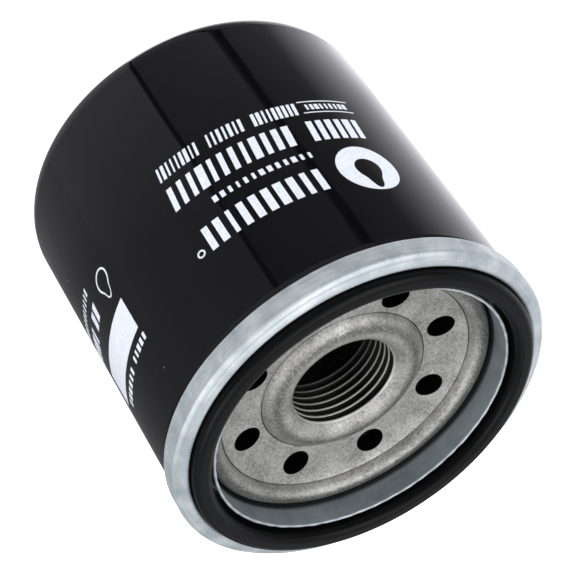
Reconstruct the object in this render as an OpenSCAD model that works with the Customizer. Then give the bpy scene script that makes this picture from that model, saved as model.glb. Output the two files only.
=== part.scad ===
// Spin-on oil filter: steel can, double-seamed lid, threaded base plate, standing gasket and the
// whole element stack inside. Stands on its closed end, threaded end up, Z is the thread axis.
// Millimetres. Origin: centre of the closed end's resting face.

/* [Can] */
// outside diameter of the can
can_d = 65; // [60:0.5:76]
// height of the base plate's datum face above the closed end
plate_z = 59; // [50:0.5:90]
// outside radius of the closed end's corner
corner_r = 4.5; // [3:0.5:8]
// sheet thickness of the can
can_t = 0.5; // [0.45:0.05:0.7]

/* [Lid and seam] */
// sheet thickness of the lid
lid_t = 0.5; // [0.45:0.05:0.6]
// inside radius of the lid's inner lip
lip_r = 26.1; // [25.5:0.1:27]
// top of the inner lip above the datum face
lip_top = 7.2; // [5:0.1:9]
// top of the rolled seam above the datum face
seam_top = 7.5; // [6.5:0.1:9]
// bottom of the rolled seam above the datum face
seam_bot = 3.2; // [2.5:0.1:4]

/* [Base plate] */
// minor radius of the M20 x 1.5 thread
thread_r = 9.19; // [8:0.01:12]
// length of the threaded collar below the datum face
collar_l = 10.5; // [8:0.5:14]
// number of inlet holes
inlet_n = 8; // [4:1:10]
// diameter of an inlet hole
inlet_d = 4.75; // [3:0.05:6]
// radius of the circle the inlet holes lie on
inlet_pcr = 18.3; // [17:0.1:19]

/* [Gasket] */
// inside radius of the sealing gasket
gasket_ri = 27.4; // [27:0.1:28]
// outside radius of the sealing gasket
gasket_ro = 30.6; // [30:0.1:30.7]
// sealing face above the datum face
gasket_top = 9.1; // [8:0.1:11]

/* [Element] */
// number of pleats in the filter paper
pleat_n = 46; // [30:1:56]
// thickness of the filter paper
paper_t = 0.55; // [0.4:0.05:0.8]
// rows of holes up the centre tube
tube_rows = 7; // [4:1:9]
// holes in one row of the centre tube
tube_cols = 8; // [6:1:12]

/* [Bypass valve] */
// lift of the bypass valve drawn, 0 is shut
lift = 0; // [0:0.1:3]
// turns of the bypass spring
spring_turns = 6; // [4:1:8]

/* [Hidden] */
$fn = 96;
e = 0.01;
can_r = can_d / 2;
can_ri = can_r - can_t;
seam_r = can_r + 0.96;           // outside of the rolled seam
neck_ri = can_r - 1.02;          // can wall drawn in where it passes through the seam
chuck_r = can_r - 1.7;           // outer wall of the gasket channel, inside face
flange_q = 0.9;                  // plate flange the lid stands on, above the datum face
plate_r = chuck_r + 0.1;
under_q = -2.6;                  // underside of the plate, from the datum face
boss_r = 11.9;
collar_ro = 11.7;
bead_r = 24.25;
bead_q = 1.25;
bead_c = 1.75;
// top of the dished hole zone: radius and height above the datum face, crease to crease
dish = [[14.4, -0.4], [inlet_pcr, 0], [20.8, 0.4], [22.6, 1.1]];
cap_top = plate_z - 12.3;        // upper face of the open end cap
cap_t = 0.5;
cap_r = 27.6;
cap_bot = 7.8;                   // lower face of the closed end cap
rim_h = 3.2;
tube_ri = 12.5;
tube_t = 0.5;
paper_ri = 13.6;
paper_ro = 26.6;
pot_t = 1.2;
media_lo = cap_bot + cap_t + pot_t;
media_hi = cap_top - cap_t - pot_t;
seat_hole = 5;
lip_hi = plate_z + under_q - 0.1; // sealing edge of the anti-drain lip
gap = 0.1;
hook_q = seam_top - 0.8;          // top of the can's flange, above the datum face
lid_hook_ri = can_r - 0.44;      // lid's hook, turned up inside the can's
poppet_z = 10.3;
cage_z = 21;
wire_r = 0.4;
coil_r = 4.6;

// a rectangle in the turning plane, from two opposite corners
module bar(r0, z0, r1, z1) {
    translate([r0, z0]) square([r1 - r0, z1 - z0]);
}

// a rectangle whose outer top corner is rounded to radius c
module bar_round(r0, z0, r1, z1, c) {
    bar(r0, z0, r1, z1 - c);
    bar(r0, z0, r1 - c, z1);
    translate([r1 - c, z1 - c]) circle(r = c, $fn = 48);
}

// deep drawn can: flat closed end, necked in at the top and hooked outwards into the seam
module can() {
    color("#1b1b20")
    rotate_extrude() {
        difference() {
            union() {
                bar(0, 0, can_r - corner_r, corner_r);
                bar(0, corner_r, can_r, plate_z + 1.6);
                translate([can_r - corner_r, corner_r]) circle(r = corner_r, $fn = 48);
            }
            union() {
                bar(-1, can_t, can_r - corner_r, corner_r + e);
                bar(-1, corner_r, can_ri, plate_z + 3);
                translate([can_r - corner_r, corner_r]) circle(r = corner_r - can_t, $fn = 48);
            }
            translate([-2 * can_r, -e]) square([2 * can_r, 2 * plate_z]);
        }
        polygon([[can_ri, plate_z + 1.6 - e], [can_r, plate_z + 1.6 - e],
                 [neck_ri + can_t, plate_z + 2.6], [neck_ri, plate_z + 2.6]]);
        bar(neck_ri, plate_z + 2.6 - e, neck_ri + can_t, plate_z + hook_q);
        bar(neck_ri, plate_z + hook_q - 0.45, can_r + 0.34, plate_z + hook_q);
        bar(can_r - 0.01, plate_z + seam_bot + 1, can_r + 0.34, plate_z + hook_q);
    }
}

// zinc plated lid: inner lip, channel floor, channel wall and the seam rolled round the can's hook
module seaming_lid() {
    color("#b9c6cd")
    rotate_extrude() {
        bar(lip_r, plate_z + flange_q, lip_r + lid_t, plate_z + lip_top);
        bar(lip_r, plate_z + flange_q, chuck_r + lid_t, plate_z + flange_q + lid_t);
        bar(chuck_r, plate_z + flange_q, chuck_r + lid_t, plate_z + seam_top - 0.6);
        difference() {
            bar_round(chuck_r, plate_z + seam_bot, seam_r, plate_z + seam_top, 1.1);
            bar(chuck_r + lid_t, plate_z + seam_bot - e, lid_hook_ri, plate_z + seam_bot + 0.6);
            bar_round(chuck_r + lid_t, plate_z + seam_bot + 0.5, seam_r - 0.5,
                      plate_z + seam_top - 0.5, 0.6);
        }
        bar(lid_hook_ri, plate_z + seam_bot, lid_hook_ri + 0.35, plate_z + hook_q - 0.55);
    }
}

// sealing compound squeezed between the lid and the can's hook
module seam_compound() {
    color("#3b4a44")
    rotate_extrude()
        difference() {
            bar(chuck_r + lid_t + 0.03, plate_z + 3.8, can_r - 0.05, plate_z + seam_top - 0.55);
            bar(neck_ri - 0.03, plate_z + 3.7, can_r + 0.3, plate_z + hook_q + 0.03);
        }
}

// pressed base plate: threaded collar with a rolled boss, dished hole zone, stiffening bead, flange
module base_plate() {
    color("#96938f")
    difference() {
        rotate_extrude() {
            difference() {
                union() {
                    translate([boss_r, plate_z - 2]) circle(r = 3.2);
                    polygon(concat([[boss_r, plate_z + under_q], [bead_r, plate_z + under_q],
                                    [bead_r, plate_z + bead_q]],
                                   [for (k = [3 : -1 : 0]) [dish[k][0], plate_z + dish[k][1]]],
                                   [[boss_r, plate_z - 1]]));
                    translate([bead_r, plate_z + bead_q]) circle(r = bead_c);
                    bar(bead_r - 1, plate_z + under_q + 0.9, plate_r, plate_z + flange_q);
                    bar(thread_r - 1, plate_z - collar_l, collar_ro, plate_z - 2);
                }
                bar(-e, plate_z - 2 * collar_l, thread_r, plate_z + 4);
            }
        }
        for (k = [0 : inlet_n - 1])
            rotate([0, 0, k * 360 / inlet_n])
                translate([inlet_pcr, 0, plate_z + under_q - 1])
                    cylinder(d = inlet_d, h = 6);
    }
}

// sealing gasket: square-backed ring with a rounded crown and a narrow flat sealing face
module sealing_gasket() {
    c = 1.1;
    z0 = plate_z + flange_q + lid_t;
    z1 = plate_z + gasket_top;
    color("#17171a")
    rotate_extrude() {
        bar(gasket_ri, z0, gasket_ro, z1 - c);
        bar(gasket_ri + c, z0, gasket_ro - c, z1);
        translate([gasket_ri + c, z1 - c]) circle(r = c, $fn = 48);
        translate([gasket_ro - c, z1 - c]) circle(r = c, $fn = 48);
    }
}

// anti-drain valve: the clamped rim round the collar
module anti_drain_rim() {
    color("#1c1c1f")
    rotate_extrude()
        bar(collar_ro + 0.1, cap_top, 14.5, cap_top + 4.6);
}

// anti-drain valve: the thin sprung web, which folds when the lip lifts
module anti_drain_web() {
    z0 = cap_top + 3.6;
    color("#1c1c1f")
    rotate_extrude()
        polygon([[14.53, z0], [21.6, lip_hi - 1.2], [21.6, lip_hi - 0.2], [14.53, z0 + 1]]);
}

// anti-drain valve: the sealing lip under the plate
module anti_drain_lip() {
    color("#1c1c1f")
    rotate_extrude()
        polygon([[21.6, lip_hi - 1.3], [23.4, lip_hi - 1.1], [23.6, lip_hi], [22.8, lip_hi],
                 [21.6, lip_hi - 0.15]]);
}

// pressed end cap at the threaded end
module open_end_cap() {
    color("#9aa09f")
    rotate_extrude() {
        bar(collar_ro + 0.2, cap_top - cap_t, cap_r, cap_top);
        bar(cap_r - cap_t, cap_top - rim_h, cap_r, cap_top);
        bar(collar_ro + 0.2, cap_top - 2.4, collar_ro + 0.65, cap_top);
    }
}

// adhesive bed that seals the paper into the upper cap
module open_end_potting() {
    color("#8d3b2a")
    rotate_extrude()
        bar(tube_ri + tube_t + 0.1, media_hi, cap_r - cap_t - 0.05, cap_top - cap_t);
}

// star folded filter paper
function pleat_pt(k, d) =
    let (a = k * 180 / pleat_n, r = (k % 2 == 0 ? paper_ri : paper_ro) + d)
    [r * cos(a), r * sin(a)];

module pleated_media() {
    fold = paper_t * 1.4;
    color("#d9c79a")
    translate([0, 0, media_lo])
        linear_extrude(height = media_hi - media_lo)
            difference() {
                polygon([for (k = [0 : 2 * pleat_n - 1])
                    let (a = k * 180 / pleat_n, s = k % 2 == 0)
                    [(s ? paper_ri + 4 * fold : paper_ro) * cos(a),
                     (s ? paper_ri + 4 * fold : paper_ro) * sin(a)]]);
                polygon([for (k = [0 : 2 * pleat_n - 1])
                    let (a = k * 180 / pleat_n, s = k % 2 == 0)
                    [(s ? paper_ri : paper_ro - 4 * fold) * cos(a),
                     (s ? paper_ri : paper_ro - 4 * fold) * sin(a)]]);
            }
}

// steel clip that closes the paper's seam on the outside of one pleat
module pleat_clip() {
    color("#b4b6b4")
    translate([paper_ro + 0.1, -0.9, media_lo + 2])
        cube([0.4, 1.8, media_hi - media_lo - 4]);
}

// perforated centre tube
module centre_tube() {
    z0 = cap_bot + cap_t;
    h = cap_top - cap_t - z0;
    color("#a7aaa8")
    difference() {
        translate([0, 0, z0]) cylinder(r = tube_ri + tube_t, h = h);
        translate([0, 0, z0 - 1]) cylinder(r = tube_ri, h = h + 2);
        for (i = [0 : tube_rows - 1])
            for (k = [0 : tube_cols - 1])
                rotate([0, 0, (k + (i % 2) / 2) * 360 / tube_cols])
                    translate([tube_ri - 1, 0, z0 + 3.4 + i * (h - 7) / (tube_rows - 1)])
                        rotate([0, 90, 0]) cylinder(r = 1.5, h = 3, $fn = 24);
    }
}

// adhesive bed in the lower cap
module closed_end_potting() {
    color("#8d3b2a")
    rotate_extrude()
        bar(tube_ri + tube_t + 0.1, cap_bot + cap_t, cap_r - cap_t - 0.05, media_lo);
}

// pressed end cap at the closed end, pierced for the bypass seat
module closed_end_cap() {
    color("#9aa09f")
    rotate_extrude() {
        bar(7.2, cap_bot, cap_r, cap_bot + cap_t);
        bar(cap_r - cap_t, cap_bot, cap_r, cap_bot + rim_h);
    }
}

// bypass valve seat, crimped into the lower cap
module bypass_seat() {
    color("#b9a36a")
    rotate_extrude() {
        bar(seat_hole, 7, 7.1, cap_bot + cap_t + 0.5);
        bar(seat_hole, cap_bot + cap_t, 9.6, cap_bot + cap_t + 0.6);
        bar(seat_hole, 8, seat_hole + 0.7, poppet_z - 0.8);
    }
}

// rubber washer under the poppet
module bypass_seal() {
    color("#202022")
    translate([0, 0, lift])
        rotate_extrude() bar(4.4, poppet_z - 0.7, 7, poppet_z);
}

// poppet plate with the hub that carries the washer
module bypass_poppet() {
    color("#aeb2b2")
    translate([0, 0, lift])
        rotate_extrude() {
            bar(1.25, poppet_z, 7.2, poppet_z + 0.6);
            bar(1.25, poppet_z - 0.7, 4.3, poppet_z + 0.6);
        }
}

// guide stem of the poppet
module bypass_stem() {
    color("#c2c5c6")
    translate([0, 0, lift + poppet_z - 1]) {
        cylinder(r = 1.2, h = 14.2);
        cylinder(r = 2, h = 0.3);
    }
}

// compression spring between the poppet and the cage
module bypass_spring() {
    z0 = poppet_z + 0.65 + wire_r + lift;
    h = cage_z - 0.05 - wire_r - z0;
    n = spring_turns * 20;
    pts = [for (i = [0 : n]) for (j = [0 : 7])
        let (a = i * 18, b = j * 45, r = coil_r + wire_r * cos(b))
        [r * cos(a), r * sin(a), z0 + h * i / n + wire_r * sin(b)]];
    sides = [for (i = [0 : n - 1]) for (j = [0 : 7])
        [i * 8 + j, (i + 1) * 8 + j, (i + 1) * 8 + (j + 1) % 8, i * 8 + (j + 1) % 8]];
    ends = [[for (j = [0 : 7]) j], [for (j = [0 : 7]) n * 8 + 7 - j]];
    color("#d0d2d2")
        polyhedron(points = pts, faces = concat(sides, ends), convexity = 8);
}

// three legged cage that guides the stem and holds the spring down
module bypass_cage() {
    color("#a7aaa8")
    difference() {
        union() {
            translate([0, 0, cage_z]) cylinder(r = 6.4, h = 0.7);
            for (k = [0 : 2])
                rotate([0, 0, k * 120]) {
                    translate([5, -1.8, cage_z]) cube([4.4, 3.6, 0.7]);
                    translate([8.7, -1.8, cap_bot + cap_t + 0.6])
                        cube([0.7, 3.6, cage_z + 0.7 - cap_bot - cap_t - 0.6]);
                }
        }
        translate([0, 0, cage_z - 1]) cylinder(r = 1.55, h = 3);
    }
}

// leaf spring that presses the element towards the threaded end
module support_spring() {
    color("#8f9494")
    union() {
        rotate_extrude() bar(9.2, cap_bot - 0.5, 14, cap_bot);
        for (k = [0 : 3])
            rotate([0, 0, k * 90 + 45])
                translate([0, 3.5, 0])
                    rotate([90, 0, 0])
                        linear_extrude(height = 7)
                            polygon([[13, cap_bot - 0.5], [14.2, cap_bot - 0.6], [22.6, 1.4],
                                     [25, 0.6], [26.4, 1.1], [26.2, 1.6], [25, 1.1],
                                     [22.9, 1.9], [14.5, cap_bot], [13, cap_bot]]);
    }
}

can();
seaming_lid();
seam_compound();
base_plate();
sealing_gasket();
anti_drain_rim();
anti_drain_web();
anti_drain_lip();
open_end_cap();
open_end_potting();
pleated_media();
pleat_clip();
centre_tube();
closed_end_potting();
closed_end_cap();
bypass_seat();
bypass_seal();
bypass_poppet();
bypass_stem();
bypass_spring();
bypass_cage();
support_spring();
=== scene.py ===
import math

import bmesh
import bpy
import numpy as np
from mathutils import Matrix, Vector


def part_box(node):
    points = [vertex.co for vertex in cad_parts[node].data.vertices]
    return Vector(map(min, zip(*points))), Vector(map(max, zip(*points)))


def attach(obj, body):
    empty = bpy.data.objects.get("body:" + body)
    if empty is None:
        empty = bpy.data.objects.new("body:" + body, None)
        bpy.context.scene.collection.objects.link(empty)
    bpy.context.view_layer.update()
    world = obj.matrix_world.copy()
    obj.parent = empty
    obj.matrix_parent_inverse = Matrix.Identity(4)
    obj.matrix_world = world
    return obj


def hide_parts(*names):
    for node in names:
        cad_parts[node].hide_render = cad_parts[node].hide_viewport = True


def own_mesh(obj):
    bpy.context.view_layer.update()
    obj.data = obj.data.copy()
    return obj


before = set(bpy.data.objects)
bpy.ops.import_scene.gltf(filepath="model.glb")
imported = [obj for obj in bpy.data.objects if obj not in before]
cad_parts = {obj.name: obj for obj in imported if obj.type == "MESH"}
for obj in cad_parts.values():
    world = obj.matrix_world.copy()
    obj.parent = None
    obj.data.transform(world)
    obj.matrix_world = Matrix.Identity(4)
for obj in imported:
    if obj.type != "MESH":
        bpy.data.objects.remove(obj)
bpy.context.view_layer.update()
MM = 0.001


# ---- Leaf spring at the closed end -------------------------------------------------------------
# Four legged spring of tempered strip steel, pressed and blued by the heat treatment. It stands
# on the can's floor and pushes the whole element up against the rubber valve under the plate.

def linear(code):
    """sRGB hex to the linear colour the shaders take"""
    parts = [int(code[k:k + 2], 16) / 255 for k in (1, 3, 5)]
    curve = [c / 12.92 if c <= 0.04045 else ((c + 0.055) / 1.055) ** 2.4 for c in parts]
    return curve + [1.0]


def add(tree, kind, settings=None, links=None):
    """adds one node with its settings (attributes or inputs) and its incoming links"""
    made = tree.nodes.new(kind)
    for key, value in (settings or {}).items():
        if isinstance(key, str) and hasattr(made, key):
            setattr(made, key, value)
        else:
            made.inputs[key].default_value = value
    for key, source in (links or {}).items():
        tree.links.new(source, made.inputs[key])
    return made


def start_finish(name):
    """an empty finish: its tree, and the coordinates of the object's own frame"""
    finish = bpy.data.materials.new(name)
    finish.use_nodes = True
    finish.node_tree.nodes.clear()
    place = add(finish.node_tree, "ShaderNodeTexCoord").outputs["Object"]
    return finish, finish.node_tree, place


def strip_steel(name, code_a, code_b, dull, grain_mm):
    """cold rolled strip as pressed. It gives the eye bare metal under a faint cloudy oxide, with
    the fine grain of the rolls in its gloss"""
    finish, tree, place = start_finish(name)
    clouds = add(tree, "ShaderNodeTexNoise",
                 {"Scale": 1 / (6 * MM), "Detail": 3, "Roughness": 0.55}, {"Vector": place})
    oxide = add(tree, "ShaderNodeMapRange", {1: 0.3, 2: 0.7}, {0: clouds.outputs[0]})
    colour = add(tree, "ShaderNodeMix",
                 {"data_type": "RGBA", 6: linear(code_a), 7: linear(code_b)},
                 {0: oxide.outputs[0]})
    grain = add(tree, "ShaderNodeTexNoise",
                {"Scale": 1 / (grain_mm * MM), "Detail": 4, "Roughness": 0.55},
                {"Vector": place})
    gloss = add(tree, "ShaderNodeMapRange",
                {1: 0.25, 2: 0.75, 3: dull - 0.08, 4: dull + 0.1}, {0: grain.outputs[0]})
    bumps = add(tree, "ShaderNodeBump", {"Strength": 0.6, "Distance": 0.02 * MM},
                {"Height": grain.outputs[0]})
    shader = add(tree, "ShaderNodeBsdfPrincipled", {"Metallic": 1.0},
                 {"Base Color": colour.outputs[2], "Roughness": gloss.outputs[0],
                  "Normal": bumps.outputs[0]})
    add(tree, "ShaderNodeOutputMaterial", {}, {"Surface": shader.outputs[0]})
    return finish


def give(node, finish):
    """puts a finish on a CAD node that is shown as it is"""
    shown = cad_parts[node]
    shown.data.materials.clear()
    shown.data.materials.append(finish)


give("support_spring", strip_steel("tempered_spring_steel", "#6d7478", "#8b8378", 0.38, 0.5))


# ---- Element end caps and centre tube ----------------------------------------------------------
# Caps pressed from tin plate and a tube rolled from perforated strip. The plate is bright with a
# milky grain; the tube is bare and a little darker, with an oil film.

tin_plate = strip_steel("electrolytic_tin_plate", "#a9adab", "#8f9492", 0.3, 0.7)
for cap in ("closed_end_cap", "open_end_cap"):
    give(cap, tin_plate)
give("centre_tube", strip_steel("perforated_mild_steel", "#8d8f8c", "#77766f", 0.36, 0.4))
give("pleat_clip", strip_steel("galvanised_clip_strip", "#a7acad", "#8b9192", 0.42, 0.3))


# ---- Adhesive beds -----------------------------------------------------------------------------
# Heat cured plastisol poured into each cap, which grips the ends of the paper. It sets as a dull
# brick red skin with small bubbles.

def cured_plastisol():
    """plastisol baked in the cap. It gives the eye a dull brick red, slightly patchy, pitted all
    over by the small bubbles of the cure"""
    finish, tree, place = start_finish("cured_plastisol")
    patches = add(tree, "ShaderNodeTexNoise",
                  {"Scale": 1 / (3 * MM), "Detail": 3, "Roughness": 0.55}, {"Vector": place})
    colour = add(tree, "ShaderNodeMix",
                 {"data_type": "RGBA", 6: linear("#7c3324"), 7: linear("#94442f")},
                 {0: patches.outputs[0]})
    bubbles = add(tree, "ShaderNodeTexVoronoi", {"Scale": 1 / (1.1 * MM)}, {"Vector": place})
    pits = add(tree, "ShaderNodeMapRange", {1: 0.05, 2: 0.3}, {0: bubbles.outputs["Distance"]})
    bumps = add(tree, "ShaderNodeBump", {"Strength": 0.6, "Distance": 0.08 * MM},
                {"Height": pits.outputs[0]})
    shader = add(tree, "ShaderNodeBsdfPrincipled", {"Roughness": 0.55},
                 {"Base Color": colour.outputs[2], "Normal": bumps.outputs[0]})
    add(tree, "ShaderNodeOutputMaterial", {}, {"Surface": shader.outputs[0]})
    return finish


plastisol = cured_plastisol()
for bed in ("open_end_potting", "closed_end_potting"):
    give(bed, plastisol)


# ---- Pleated filter paper ----------------------------------------------------------------------
# One long sheet of resin treated cellulose, folded into a star and baked stiff. Each fold is a
# narrow round nosed leg, repeated round the tube.

PLEATS = 46
PAPER = 0.4             # thickness of the paper, in mm


def fold_tree():
    """a node tree that repeats one folded leg pair round the axis"""
    tree = bpy.data.node_groups.new("paper_folds", "GeometryNodeTree")
    for label, kind in (("Fold", "NodeSocketGeometry"), ("Legs", "NodeSocketInt"),
                        ("Paper", "NodeSocketMaterial")):
        tree.interface.new_socket(label, in_out="INPUT", socket_type=kind)
    tree.interface.new_socket("Star", in_out="OUTPUT", socket_type="NodeSocketGeometry")
    given = add(tree, "NodeGroupInput")
    count = given.outputs["Legs"]
    turn = add(tree, "ShaderNodeMath", {"operation": "DIVIDE", 0: math.tau}, {1: count})
    index = add(tree, "GeometryNodeInputIndex")
    angle = add(tree, "ShaderNodeMath", {"operation": "MULTIPLY"},
                {0: index.outputs[0], 1: turn.outputs[0]})
    facing = add(tree, "ShaderNodeCombineXYZ", {}, {"Z": angle.outputs[0]})
    points = add(tree, "GeometryNodePoints", {}, {"Count": count})
    placed = add(tree, "GeometryNodeInstanceOnPoints", {},
                 {"Points": points.outputs[0], "Instance": given.outputs["Fold"],
                  "Rotation": facing.outputs[0]})
    real = add(tree, "GeometryNodeRealizeInstances", {}, {0: placed.outputs[0]})
    joined = add(tree, "GeometryNodeMergeByDistance", {"Distance": 0.000002},
                 {"Geometry": real.outputs[0]})
    coloured = add(tree, "GeometryNodeSetMaterial", {},
                   {"Geometry": joined.outputs[0], "Material": given.outputs["Paper"]})
    add(tree, "NodeGroupOutput", {}, {0: coloured.outputs[0]})
    return tree


def socket_id(tree, label):
    """the identifier of a tree's named input"""
    return next(i.identifier for i in tree.interface.items_tree if i.name == label)


def grown(name, start, tree, values):
    """runs a geometry tree on a mesh and keeps the result as a plain mesh"""
    holder = bpy.data.objects.new(name + "_holder", start)
    bpy.context.scene.collection.objects.link(holder)
    made_by = holder.modifiers.new("grow", "NODES")
    made_by.node_group = tree
    for label, value in values.items():
        made_by[socket_id(tree, label)] = value
    bpy.context.view_layer.update()
    seen = holder.evaluated_get(bpy.context.evaluated_depsgraph_get())
    plain = bpy.data.meshes.new_from_object(seen)
    bpy.data.objects.remove(holder)
    if not plain.polygons:
        raise RuntimeError(name + " came out empty")
    plain.name = name
    piece = bpy.data.objects.new(name, plain)
    bpy.context.scene.collection.objects.link(piece)
    return piece


def fold_side(offset):
    """one leg pair of the paper's middle line, moved sideways by offset: a round nose outside,
    straight legs and half a round valley at each end, which meets its neighbour's"""
    outer, inner, nose, valley, half_pitch = 26.25, 13.9, 0.7, 0.38, math.pi / PLEATS
    peak = np.array([outer - nose, 0.0])
    trough = (inner + valley) * np.array([math.cos(half_pitch), math.sin(half_pitch)])
    way = trough - peak
    lean = math.atan2(way[1], way[0]) - math.acos((nose + valley) / np.linalg.norm(way))
    upper = [peak + (nose + offset) * np.array([math.cos(a), math.sin(a)])
             for a in np.linspace(0, lean, 7)]
    upper += [trough - (valley - offset) * np.array([math.cos(a), math.sin(a)])
              for a in np.linspace(lean, half_pitch, 6)]
    return [(x, -y) for x, y in reversed(upper[1:])] + [tuple(point) for point in upper]


def one_fold():
    """the paper of one leg pair, open at both ends where the next pair carries on"""
    low, high = (corner[2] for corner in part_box("pleated_media"))
    mesh = bmesh.new()
    rows = [[mesh.verts.new((x * MM, y * MM, z)) for x, y in fold_side(offset)]
            for offset in (PAPER / 2, -PAPER / 2) for z in (low, high)]
    for a, b in ((0, 1), (1, 3), (3, 2), (2, 0)):
        for k in range(len(rows[0]) - 1):
            mesh.faces.new((rows[a][k], rows[a][k + 1], rows[b][k + 1], rows[b][k]))
    fold = bpy.data.meshes.new("fold")
    mesh.to_mesh(fold)
    mesh.free()
    return fold


def filter_paper():
    """resin treated cellulose. It gives the eye a matt straw yellow with the felted grain of the
    fibres, and no gloss at all"""
    finish, tree, place = start_finish("resin_treated_filter_paper")
    fibres = add(tree, "ShaderNodeTexNoise",
                 {"Scale": 1 / (0.35 * MM), "Detail": 5, "Roughness": 0.7}, {"Vector": place})
    felt = add(tree, "ShaderNodeMapRange", {1: 0.3, 2: 0.7}, {0: fibres.outputs[0]})
    colour = add(tree, "ShaderNodeMix",
                 {"data_type": "RGBA", 6: linear("#cbb27c"), 7: linear("#e2cf9f")},
                 {0: felt.outputs[0]})
    bumps = add(tree, "ShaderNodeBump", {"Strength": 0.6, "Distance": 0.05 * MM},
                {"Height": fibres.outputs[0]})
    shader = add(tree, "ShaderNodeBsdfPrincipled", {"Roughness": 0.85},
                 {"Base Color": colour.outputs[2], "Normal": bumps.outputs[0]})
    add(tree, "ShaderNodeOutputMaterial", {}, {"Surface": shader.outputs[0]})
    return finish


paper = filter_paper()
folds = grown("pleated_paper", one_fold(), fold_tree(), {"Legs": PLEATS, "Paper": paper})
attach(folds, "housing")
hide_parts("pleated_media")


# ---- Bypass valve ------------------------------------------------------------------------------
# A spring loaded poppet in the lower cap that opens towards the tube when the paper clogs. Seat
# turned from brass, pressed steel poppet and cage, drawn wire spring, nitrile washer.

def moulded_rubber(name, code_a, code_b, dull, sheen=0.0, shine=0.5):
    """press moulded rubber. It gives the eye an even dark body with a slight bloom in patches,
    and a skin whose flow texture breaks the highlight"""
    finish, tree, place = start_finish(name)
    patches = add(tree, "ShaderNodeTexNoise",
                  {"Scale": 1 / (5 * MM), "Detail": 4, "Roughness": 0.55}, {"Vector": place})
    bloom = add(tree, "ShaderNodeMapRange", {1: 0.35, 2: 0.75}, {0: patches.outputs[0]})
    colour = add(tree, "ShaderNodeMix",
                 {"data_type": "RGBA", 6: linear(code_a), 7: linear(code_b)},
                 {0: bloom.outputs[0]})
    skin = add(tree, "ShaderNodeTexNoise",
               {"Scale": 1 / (0.4 * MM), "Detail": 4, "Roughness": 0.55}, {"Vector": place})
    gloss = add(tree, "ShaderNodeMapRange",
                {1: 0.2, 2: 0.8, 3: dull - 0.05, 4: dull + 0.08}, {0: skin.outputs[0]})
    bumps = add(tree, "ShaderNodeBump", {"Strength": 0.6, "Distance": 0.012 * MM},
                {"Height": skin.outputs[0]})
    shader = add(tree, "ShaderNodeBsdfPrincipled",
                 {"Sheen Weight": sheen, "Sheen Roughness": 0.4, "Specular IOR Level": shine},
                 {"Base Color": colour.outputs[2], "Roughness": gloss.outputs[0],
                  "Normal": bumps.outputs[0]})
    add(tree, "ShaderNodeOutputMaterial", {}, {"Surface": shader.outputs[0]})
    return finish


give("bypass_seat", strip_steel("turned_brass", "#b8974f", "#a5823c", 0.28, 0.3))
give("bypass_poppet", strip_steel("bright_pressed_steel", "#a8abab", "#959897", 0.26, 0.4))
give("bypass_stem", strip_steel("ground_steel_pin", "#b3b6b7", "#9fa3a4", 0.2, 0.2))
give("bypass_cage", strip_steel("bare_pressed_steel", "#83857f", "#6f716c", 0.4, 0.5))


POPPET_LIFT = 3 * MM


def wound_spring():
    """a compression spring: one closed turn at each end, four open turns between. Comes with
    the share of its length left when the poppet is lifted, and the height of its top"""
    low, high = (corner[2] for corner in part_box("bypass_spring"))
    wire, coil, turns, per_turn, around_wire = 0.4 * MM, 4.6 * MM, 6, 36, 12
    bottom, top = low + wire, high - wire
    closed = 2.05 * wire
    heights = np.interp(np.linspace(0, turns, turns * per_turn + 1), [0, 1, turns - 1, turns],
                        [bottom, bottom + closed, top - closed, top])
    spots, faces = [], []
    for k, z in enumerate(heights):
        turn = math.tau * k / per_turn
        for j in range(around_wire):
            side = math.tau * j / around_wire
            reach = coil + wire * math.cos(side)
            spots.append((reach * math.cos(turn), reach * math.sin(turn),
                          z + wire * math.sin(side)))
    for k in range(len(heights) - 1):
        here, there = k * around_wire, (k + 1) * around_wire
        for j in range(around_wire):
            n = (j + 1) % around_wire
            faces.append((here + j, there + j, there + n, here + n))
    faces.append(tuple(range(around_wire)))
    faces.append(tuple(len(spots) - 1 - j for j in range(around_wire)))
    mesh = bpy.data.meshes.new("wound_spring")
    mesh.from_pydata(spots, [], faces)
    mesh.shade_smooth()
    mesh.materials.append(strip_steel("drawn_spring_wire", "#a9acad", "#8f9394", 0.22, 0.2))
    spring = bpy.data.objects.new("wound_spring", mesh)
    bpy.context.scene.collection.objects.link(spring)
    return spring, (high - low - POPPET_LIFT) / (high - low), high


spring, spring_left, spring_top = wound_spring()
spring.data.set_sharp_from_angle(angle=math.radians(60))
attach(spring, "housing")
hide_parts("bypass_spring")
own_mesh(spring)
give("bypass_seal", moulded_rubber("nitrile_washer", "#161617", "#1f1f20", 0.5, sheen=0.05))


# ---- Anti-drain valve --------------------------------------------------------------------------
# One nitrile moulding: a rim gripped round the plate's collar, a thin web and a lip that shuts
# the inlet holes from below. Dull black, so the holes above it look black too.

def turned(name, outline, segments, wander=None):
    """spins a closed outline (radius, height in mm, anticlockwise) into a solid of revolution.
    wander(k, angle) may shift a point of the outline by (radius, height) at each angle"""
    count = len(outline)
    spots, faces = [], []
    for j in range(segments):
        angle = math.tau * j / segments
        for k, (r, z) in enumerate(outline):
            dr, dz = wander(k, angle) if wander else (0, 0)
            spots.append(((r + dr) * MM * math.cos(angle), (r + dr) * MM * math.sin(angle),
                          (z + dz) * MM))
    for j in range(segments):
        here, there = j * count, (j + 1) % segments * count
        for k in range(count):
            n = (k + 1) % count
            faces.append((here + k, there + k, there + n, here + n))
    mesh = bpy.data.meshes.new(name)
    mesh.from_pydata(spots, [], faces)
    mesh.shade_smooth()
    piece = bpy.data.objects.new(name, mesh)
    bpy.context.scene.collection.objects.link(piece)
    return piece


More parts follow.
